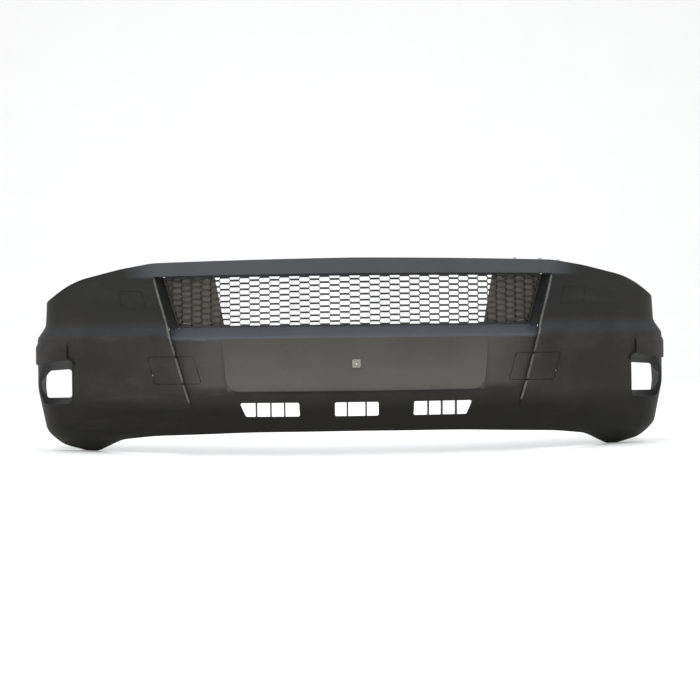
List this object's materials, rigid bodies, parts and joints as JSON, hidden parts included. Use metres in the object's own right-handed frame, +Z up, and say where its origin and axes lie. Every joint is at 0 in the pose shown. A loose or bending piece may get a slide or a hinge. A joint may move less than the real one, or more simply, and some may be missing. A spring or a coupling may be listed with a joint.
{
  "type": "bumper cover",
  "caption": "One-piece front bumper cover of a large van with a honeycomb grille, number plate pad, fog lamp openings and small service covers.",
  "frame": {"origin": "middle of the underside of the cover's box, level with the lowest edge of the wings", "axes": "+X across the vehicle, to the right seen from the front; -Y forwards; +Z up"},
  "size_m": [1.986, 0.6, 0.573],
  "materials": {
    "cover_plastic": "grained, unpainted, dark grey",
    "grille_plastic": "fine grain, dark grey",
    "blank_plastic": "smooth, brownish grey",
    "bracket_plastic": "smooth, black",
    "nut_nylon": "natural nylon, off-white",
    "screw_steel": "zinc plated",
    "clip_steel": "zinc plated"
  },
  "bodies": {
    "cover": {"bumper_skin": "cover_plastic", "grille_mesh": "grille_plastic", "grille_blank_right": "blank_plastic", "grille_blank_left": "blank_plastic", "grille_screw_top_1": "screw_steel", "grille_screw_top_2": "screw_steel", "grille_screw_top_3": "screw_steel", "grille_screw_top_4": "screw_steel", "grille_screw_low_1": "screw_steel", "grille_screw_low_2": "screw_steel", "grille_screw_low_3": "screw_steel", "grille_screw_low_4": "screw_steel", "tow_bracket_right": "bracket_plastic", "tow_pin_right": "screw_steel", "washer_sleeve_right": "bracket_plastic", "tow_bracket_left": "bracket_plastic", "tow_pin_left": "screw_steel", "washer_sleeve_left": "bracket_plastic", "lower_grille_left": "grille_plastic", "lower_grille_centre": "grille_plastic", "lower_grille_right": "grille_plastic", "plate_nut": "nut_nylon", "top_clip_1": "clip_steel", "top_clip_2": "clip_steel", "top_clip_3": "clip_steel"},
    "tow_cover_right_body": {"tow_cover_right": "cover_plastic"},
    "tow_cover_left_body": {"tow_cover_left": "cover_plastic"},
    "washer_cover_right_body": {"washer_cover_right": "cover_plastic"},
    "washer_cover_left_body": {"washer_cover_left": "cover_plastic"}
  },
  "joints": [
    {"name": "tow_cover_right_hinge", "type": "hinge", "parent": "cover", "child": "tow_cover_right_body", "pos_m": [0.652, -0.18036, 0.248], "axis": [0, 0, 1], "range_deg": [0, 65]},
    {"name": "tow_cover_left_hinge", "type": "hinge", "parent": "cover", "child": "tow_cover_left_body", "pos_m": [-0.652, -0.18036, 0.248], "axis": [0, 0, -1], "range_deg": [0, 65]},
    {"name": "washer_cover_right_slide", "type": "slide", "parent": "cover", "child": "washer_cover_right_body", "axis": [0, -1, 0], "range_m": [0, 0.06], "stiffness_N_per_m": 60, "springref_m": -0.01},
    {"name": "washer_cover_left_slide", "type": "slide", "parent": "cover", "child": "washer_cover_left_body", "axis": [0, -1, 0], "range_m": [0, 0.06], "stiffness_N_per_m": 60, "springref_m": -0.01}
  ]
}
